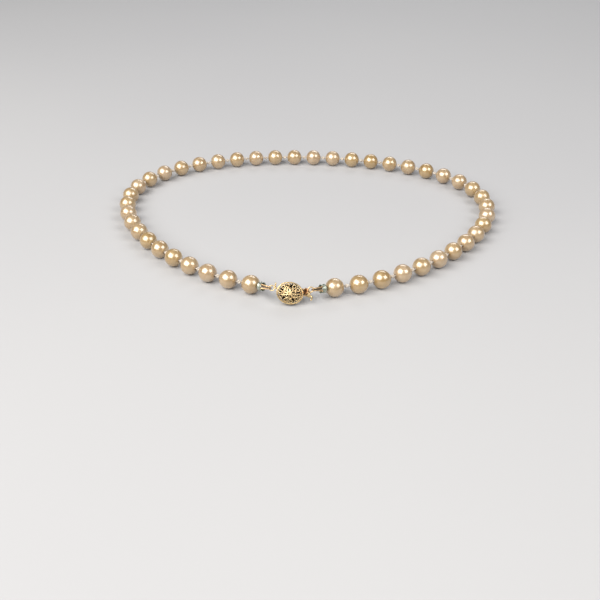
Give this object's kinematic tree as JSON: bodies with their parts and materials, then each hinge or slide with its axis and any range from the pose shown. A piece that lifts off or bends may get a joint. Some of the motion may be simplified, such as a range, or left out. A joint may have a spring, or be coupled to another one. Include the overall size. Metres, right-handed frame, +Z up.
{
  "type": "pearl necklace",
  "caption": "Single strand of drilled champagne pearls on knotted silk, closed at the back by an oval filigree clasp with a spring hook, lying in an oval loop.",
  "frame": {"origin": "on the surface the necklace lies on, under the middle of its box", "axes": "+X across the loop, to the right as seen from the clasp side, the long way; +Y from the clasp to the middle of the strand; +Z up, out of the loop"},
  "size_m": [0.154, 0.129, 0.0077],
  "materials": {
    "pearl": "glossy",
    "silk": "matte",
    "clasp_gold": "polished",
    "bead_tip": "satin"
  },
  "bodies": {
    "pearl_23": {"pearl_23": "pearl", "silk_thread": "silk"},
    "pearl_22": {"pearl_22": "pearl"},
    "pearl_21": {"pearl_21": "pearl"},
    "pearl_20": {"pearl_20": "pearl"},
    "pearl_19": {"pearl_19": "pearl"},
    "pearl_18": {"pearl_18": "pearl"},
    "pearl_17": {"pearl_17": "pearl"},
    "pearl_16": {"pearl_16": "pearl"},
    "pearl_15": {"pearl_15": "pearl"},
    "pearl_14": {"pearl_14": "pearl"},
    "pearl_13": {"pearl_13": "pearl"},
    "pearl_12": {"pearl_12": "pearl"},
    "pearl_11": {"pearl_11": "pearl"},
    "pearl_10": {"pearl_10": "pearl"},
    "pearl_09": {"pearl_09": "pearl"},
    "pearl_08": {"pearl_08": "pearl"},
    "pearl_07": {"pearl_07": "pearl"},
    "pearl_06": {"pearl_06": "pearl"},
    "pearl_05": {"pearl_05": "pearl"},
    "pearl_04": {"pearl_04": "pearl"},
    "pearl_03": {"pearl_03": "pearl"},
    "pearl_02": {"pearl_02": "pearl"},
    "pearl_01": {"pearl_01": "pearl"},
    "bead_tip_left": {"bead_tip_left": "bead_tip"},
    "pearl_24": {"pearl_24": "pearl"},
    "pearl_25": {"pearl_25": "pearl"},
    "pearl_26": {"pearl_26": "pearl"},
    "pearl_27": {"pearl_27": "pearl"},
    "pearl_28": {"pearl_28": "pearl"},
    "pearl_29": {"pearl_29": "pearl"},
    "pearl_30": {"pearl_30": "pearl"},
    "pearl_31": {"pearl_31": "pearl"},
    "pearl_32": {"pearl_32": "pearl"},
    "pearl_33": {"pearl_33": "pearl"},
    "pearl_34": {"pearl_34": "pearl"},
    "pearl_35": {"pearl_35": "pearl"},
    "pearl_36": {"pearl_36": "pearl"},
    "pearl_37": {"pearl_37": "pearl"},
    "pearl_38": {"pearl_38": "pearl"},
    "pearl_39": {"pearl_39": "pearl"},
    "pearl_40": {"pearl_40": "pearl"},
    "pearl_41": {"pearl_41": "pearl"},
    "pearl_42": {"pearl_42": "pearl"},
    "pearl_43": {"pearl_43": "pearl"},
    "pearl_44": {"pearl_44": "pearl"},
    "pearl_45": {"pearl_45": "pearl"},
    "bead_tip_right": {"bead_tip_right": "bead_tip"},
    "clasp_box": {"clasp_rim": "clasp_gold", "clasp_front_filigree": "clasp_gold", "clasp_back_filigree": "clasp_gold", "clasp_catch_bar": "clasp_gold", "clasp_ring": "clasp_gold"},
    "clasp_hook": {"hook_strip": "clasp_gold", "hook_ring": "clasp_gold"},
    "hook_tongue": {"hook_tongue": "clasp_gold"}
  },
  "joints": [
    {"name": "knot_left_01_open", "type": "hinge", "parent": "pearl_23", "child": "pearl_22", "pos_m": [-0.0044, 0.06103, 0.0033], "axis": [0, 0, -1], "range_deg": [0, 3.93], "deforming": ["silk_thread"]},
    {"name": "knot_left_02_open", "type": "hinge", "parent": "pearl_22", "child": "pearl_21", "pos_m": [-0.01317, 0.06042, 0.0033], "axis": [0, 0, -1], "range_deg": [0, 4.15]},
    {"name": "knot_left_03_open", "type": "hinge", "parent": "pearl_21", "child": "pearl_20", "pos_m": [-0.02188, 0.0592, 0.0033], "axis": [0, 0, -1], "range_deg": [0, 4.48]},
    {"name": "knot_left_04_open", "type": "hinge", "parent": "pearl_20", "child": "pearl_19", "pos_m": [-0.03047, 0.0573, 0.0033], "axis": [0, 0, -1], "range_deg": [0, 5.04]},
    {"name": "knot_left_05_open", "type": "hinge", "parent": "pearl_19", "child": "pearl_18", "pos_m": [-0.03885, 0.05467, 0.0033], "axis": [0, 0, -1], "range_deg": [0, 9.43]},
    {"name": "knot_left_06_lift", "type": "hinge", "parent": "pearl_18", "child": "pearl_17", "pos_m": [-0.04693, 0.05121, 0.0033], "axis": [-1, 0, 0], "range_deg": [0, 10], "deforming": ["silk_thread"]},
    {"name": "knot_left_07_open", "type": "hinge", "parent": "pearl_17", "child": "pearl_16", "pos_m": [-0.05451, 0.04679, 0.0033], "axis": [0, 0, -1], "range_deg": [0, 17.79]},
    {"name": "knot_left_08_lift", "type": "hinge", "parent": "pearl_16", "child": "pearl_15", "pos_m": [-0.06134, 0.04128, 0.0033], "axis": [-1, 0, 0], "range_deg": [0, 10.1]},
    {"name": "knot_left_09_open", "type": "hinge", "parent": "pearl_15", "child": "pearl_14", "pos_m": [-0.067, 0.0346, 0.0033], "axis": [0, 0, -1], "range_deg": [0, 25.28]},
    {"name": "knot_left_10_lift", "type": "hinge", "parent": "pearl_14", "child": "pearl_13", "pos_m": [-0.07104, 0.02685, 0.0033], "axis": [-1, 0, 0], "range_deg": [0, 10.1]},
    {"name": "knot_left_11_open", "type": "hinge", "parent": "pearl_13", "child": "pearl_12", "pos_m": [-0.07312, 0.01837, 0.0033], "axis": [0, 0, -1], "range_deg": [0, 25.91]},
    {"name": "knot_left_12_lift", "type": "hinge", "parent": "pearl_12", "child": "pearl_11", "pos_m": [-0.07323, 0.00962, 0.0033], "axis": [-1, 0, 0], "range_deg": [0, 10.1]},
    {"name": "knot_left_13_open", "type": "hinge", "parent": "pearl_11", "child": "pearl_10", "pos_m": [-0.07161, 0.00101, 0.0033], "axis": [0, 0, -1], "range_deg": [0, 18.76]},
    {"name": "knot_left_14_lift", "type": "hinge", "parent": "pearl_10", "child": "pearl_09", "pos_m": [-0.06864, -0.00725, 0.0033], "axis": [-1, 0, 0], "range_deg": [0, 10.1]},
    {"name": "knot_left_15_open", "type": "hinge", "parent": "pearl_09", "child": "pearl_08", "pos_m": [-0.06462, -0.01506, 0.0033], "axis": [0, 0, -1], "range_deg": [0, 12.81]},
    {"name": "knot_left_16_lift", "type": "hinge", "parent": "pearl_08", "child": "pearl_07", "pos_m": [-0.05977, -0.0224, 0.0033], "axis": [-1, 0, 0], "range_deg": [0, 10.1]},
    {"name": "knot_left_17_open", "type": "hinge", "parent": "pearl_07", "child": "pearl_06", "pos_m": [-0.05425, -0.02924, 0.0033], "axis": [0, 0, -1], "range_deg": [0, 7.9]},
    {"name": "knot_left_18_open", "type": "hinge", "parent": "pearl_06", "child": "pearl_05", "pos_m": [-0.04815, -0.03556, 0.0033], "axis": [0, 0, -1], "range_deg": [0, 5.11]},
    {"name": "knot_left_19_open", "type": "hinge", "parent": "pearl_05", "child": "pearl_04", "pos_m": [-0.04151, -0.04133, 0.0033], "axis": [0, 0, -1], "range_deg": [0, 5.39]},
    {"name": "knot_left_20_open", "type": "hinge", "parent": "pearl_04", "child": "pearl_03", "pos_m": [-0.03437, -0.04645, 0.0033], "axis": [0, 0, -1], "range_deg": [0, 6]},
    {"name": "knot_left_21_open", "type": "hinge", "parent": "pearl_03", "child": "pearl_02", "pos_m": [-0.02674, -0.05081, 0.0033], "axis": [0, 0, -1], "range_deg": [0, 6.9]},
    {"name": "knot_left_22_open", "type": "hinge", "parent": "pearl_02", "child": "pearl_01", "pos_m": [-0.01865, -0.05423, 0.0033], "axis": [0, 0, -1], "range_deg": [0, 2.85]},
    {"name": "bead_tip_left_swing", "type": "hinge", "parent": "pearl_01", "child": "bead_tip_left", "pos_m": [-0.01159, -0.05753, 0.00391], "axis": [0, 0, -1], "range_deg": [0, 6.65]},
    {"name": "knot_right_01_open", "type": "hinge", "parent": "pearl_23", "child": "pearl_24", "pos_m": [0.0044, 0.06103, 0.0033], "axis": [0, 0, 1], "range_deg": [0, 3.99]},
    {"name": "knot_right_02_open", "type": "hinge", "parent": "pearl_24", "child": "pearl_25", "pos_m": [0.01317, 0.06042, 0.0033], "axis": [0, 0, 1], "range_deg": [0, 4.15]},
    {"name": "knot_right_03_open", "type": "hinge", "parent": "pearl_25", "child": "pearl_26", "pos_m": [0.02188, 0.0592, 0.0033], "axis": [0, 0, 1], "range_deg": [0, 4.48]},
    {"name": "knot_right_04_open", "type": "hinge", "parent": "pearl_26", "child": "pearl_27", "pos_m": [0.03047, 0.0573, 0.0033], "axis": [0, 0, 1], "range_deg": [0, 5.04]},
    {"name": "knot_right_05_open", "type": "hinge", "parent": "pearl_27", "child": "pearl_28", "pos_m": [0.03885, 0.05467, 0.0033], "axis": [0, 0, 1], "range_deg": [0, 9.43]},
    {"name": "knot_right_06_lift", "type": "hinge", "parent": "pearl_28", "child": "pearl_29", "pos_m": [0.04693, 0.05121, 0.0033], "axis": [-1, 0, 0], "range_deg": [0, 10.1]},
    {"name": "knot_right_07_open", "type": "hinge", "parent": "pearl_29", "child": "pearl_30", "pos_m": [0.05451, 0.04679, 0.0033], "axis": [0, 0, 1], "range_deg": [0, 17.79]},
    {"name": "knot_right_08_lift", "type": "hinge", "parent": "pearl_30", "child": "pearl_31", "pos_m": [0.06134, 0.04128, 0.0033], "axis": [-1, 0, 0], "range_deg": [0, 10.1]},
    {"name": "knot_right_09_open", "type": "hinge", "parent": "pearl_31", "child": "pearl_32", "pos_m": [0.067, 0.0346, 0.0033], "axis": [0, 0, 1], "range_deg": [0, 25.28]},
    {"name": "knot_right_10_lift", "type": "hinge", "parent": "pearl_32", "child": "pearl_33", "pos_m": [0.07104, 0.02685, 0.0033], "axis": [-1, 0, 0], "range_deg": [0, 10.1]},
    {"name": "knot_right_11_open", "type": "hinge", "parent": "pearl_33", "child": "pearl_34", "pos_m": [0.07312, 0.01837, 0.0033], "axis": [0, 0, 1], "range_deg": [0, 25.91]},
    {"name": "knot_right_12_lift", "type": "hinge", "parent": "pearl_34", "child": "pearl_35", "pos_m": [0.07323, 0.00962, 0.0033], "axis": [-1, 0, 0], "range_deg": [0, 10.1]},
    {"name": "knot_right_13_open", "type": "hinge", "parent": "pearl_35", "child": "pearl_36", "pos_m": [0.07161, 0.00101, 0.0033], "axis": [0, 0, 1], "range_deg": [0, 18.76]},
    {"name": "knot_right_14_lift", "type": "hinge", "parent": "pearl_36", "child": "pearl_37", "pos_m": [0.06864, -0.00725, 0.0033], "axis": [-1, 0, 0], "range_deg": [0, 10.1]},
    {"name": "knot_right_15_open", "type": "hinge", "parent": "pearl_37", "child": "pearl_38", "pos_m": [0.06462, -0.01506, 0.0033], "axis": [0, 0, 1], "range_deg": [0, 12.81]},
    {"name": "knot_right_16_lift", "type": "hinge", "parent": "pearl_38", "child": "pearl_39", "pos_m": [0.05977, -0.0224, 0.0033], "axis": [-1, 0, 0], "range_deg": [0, 10.1]},
    {"name": "knot_right_17_open", "type": "hinge", "parent": "pearl_39", "child": "pearl_40", "pos_m": [0.05425, -0.02924, 0.0033], "axis": [0, 0, 1], "range_deg": [0, 7.9]},
    {"name": "knot_right_18_open", "type": "hinge", "parent": "pearl_40", "child": "pearl_41", "pos_m": [0.04815, -0.03556, 0.0033], "axis": [0, 0, 1], "range_deg": [0, 5.11]},
    {"name": "knot_right_19_open", "type": "hinge", "parent": "pearl_41", "child": "pearl_42", "pos_m": [0.04151, -0.04133, 0.0033], "axis": [0, 0, 1], "range_deg": [0, 5.39]},
    {"name": "knot_right_20_open", "type": "hinge", "parent": "pearl_42", "child": "pearl_43", "pos_m": [0.03437, -0.04645, 0.0033], "axis": [0, 0, 1], "range_deg": [0, 6]},
    {"name": "knot_right_21_open", "type": "hinge", "parent": "pearl_43", "child": "pearl_44", "pos_m": [0.02674, -0.05081, 0.0033], "axis": [0, 0, 1], "range_deg": [0, 6.9]},
    {"name": "knot_right_22_open", "type": "hinge", "parent": "pearl_44", "child": "pearl_45", "pos_m": [0.01865, -0.05423, 0.0033], "axis": [0, 0, 1], "range_deg": [0, 2.85]},
    {"name": "bead_tip_right_swing", "type": "hinge", "parent": "pearl_45", "child": "bead_tip_right", "pos_m": [0.01159, -0.05753, 0.00391], "axis": [0, 0, 1], "range_deg": [0, 6.65]},
    {"name": "clasp_turn", "type": "hinge", "parent": "bead_tip_left", "child": "clasp_box", "pos_m": [-0.00755, -0.06008, 0.00475], "axis": [-1, 0, 0], "range_deg": [0, 30]},
    {"name": "hook_turn", "type": "hinge", "parent": "bead_tip_right", "child": "clasp_hook", "pos_m": [0.00755, -0.06008, 0.00475], "axis": [-1, 0, 0], "range_deg": [0, 30.3]},
    {"name": "tongue_press", "type": "hinge", "parent": "clasp_hook", "child": "hook_tongue", "pos_m": [-0.003, -0.06098, 0.00413], "axis": [0, 0.5, 0.866], "range_deg": [0, 2.5], "stiffness_Nm_per_rad": 0.002}
  ],
  "couplings": [
    {"joint": "knot_left_02_open", "follows": "knot_left_01_open", "ratio": 1.0396},
    {"joint": "knot_left_03_open", "follows": "knot_left_01_open", "ratio": 1.1237},
    {"joint": "knot_left_04_open", "follows": "knot_left_01_open", "ratio": 1.263},
    {"joint": "knot_left_05_open", "follows": "knot_left_01_open", "ratio": 2.3675},
    {"joint": "knot_left_07_open", "follows": "knot_left_01_open", "ratio": 4.4722},
    {"joint": "knot_left_08_lift", "follows": "knot_left_06_lift", "ratio": 1},
    {"joint": "knot_left_09_open", "follows": "knot_left_01_open", "ratio": 6.357},
    {"joint": "knot_left_10_lift", "follows": "knot_left_06_lift", "ratio": 1},
    {"joint": "knot_left_11_open", "follows": "knot_left_01_open", "ratio": 6.5172},
    {"joint": "knot_left_12_lift", "follows": "knot_left_06_lift", "ratio": 1},
    {"joint": "knot_left_13_open", "follows": "knot_left_01_open", "ratio": 4.7174},
    {"joint": "knot_left_14_lift", "follows": "knot_left_06_lift", "ratio": 1},
    {"joint": "knot_left_15_open", "follows": "knot_left_01_open", "ratio": 3.2183},
    {"joint": "knot_left_16_lift", "follows": "knot_left_06_lift", "ratio": 1},
    {"joint": "knot_left_17_open", "follows": "knot_left_01_open", "ratio": 1.9827},
    {"joint": "knot_left_18_open", "follows": "knot_left_01_open", "ratio": 1.2805},
    {"joint": "knot_left_19_open", "follows": "knot_left_01_open", "ratio": 1.3522},
    {"joint": "knot_left_20_open", "follows": "knot_left_01_open", "ratio": 1.5047},
    {"joint": "knot_left_21_open", "follows": "knot_left_01_open", "ratio": 1.7318},
    {"joint": "knot_left_22_open", "follows": "knot_left_01_open", "ratio": 0.7119},
    {"joint": "bead_tip_left_swing", "follows": "knot_left_01_open", "ratio": 1.6685},
    {"joint": "knot_right_01_open", "follows": "knot_left_01_open", "ratio": 1},
    {"joint": "knot_right_02_open", "follows": "knot_left_01_open", "ratio": 1.0396},
    {"joint": "knot_right_03_open", "follows": "knot_left_01_open", "ratio": 1.1237},
    {"joint": "knot_right_04_open", "follows": "knot_left_01_open", "ratio": 1.263},
    {"joint": "knot_right_05_open", "follows": "knot_left_01_open", "ratio": 2.3675},
    {"joint": "knot_right_06_lift", "follows": "knot_left_06_lift", "ratio": 1},
    {"joint": "knot_right_07_open", "follows": "knot_left_01_open", "ratio": 4.4722},
    {"joint": "knot_right_08_lift", "follows": "knot_left_06_lift", "ratio": 1},
    {"joint": "knot_right_09_open", "follows": "knot_left_01_open", "ratio": 6.357},
    {"joint": "knot_right_10_lift", "follows": "knot_left_06_lift", "ratio": 1},
    {"joint": "knot_right_11_open", "follows": "knot_left_01_open", "ratio": 6.5172},
    {"joint": "knot_right_12_lift", "follows": "knot_left_06_lift", "ratio": 1},
    {"joint": "knot_right_13_open", "follows": "knot_left_01_open", "ratio": 4.7174},
    {"joint": "knot_right_14_lift", "follows": "knot_left_06_lift", "ratio": 1},
    {"joint": "knot_right_15_open", "follows": "knot_left_01_open", "ratio": 3.2183},
    {"joint": "knot_right_16_lift", "follows": "knot_left_06_lift", "ratio": 1},
    {"joint": "knot_right_17_open", "follows": "knot_left_01_open", "ratio": 1.9827},
    {"joint": "knot_right_18_open", "follows": "knot_left_01_open", "ratio": 1.2805},
    {"joint": "knot_right_19_open", "follows": "knot_left_01_open", "ratio": 1.3522},
    {"joint": "knot_right_20_open", "follows": "knot_left_01_open", "ratio": 1.5047},
    {"joint": "knot_right_21_open", "follows": "knot_left_01_open", "ratio": 1.7318},
    {"joint": "knot_right_22_open", "follows": "knot_left_01_open", "ratio": 0.7119},
    {"joint": "bead_tip_right_swing", "follows": "knot_left_01_open", "ratio": 1.6685},
    {"joint": "hook_turn", "follows": "clasp_turn", "ratio": 1}
  ]
}
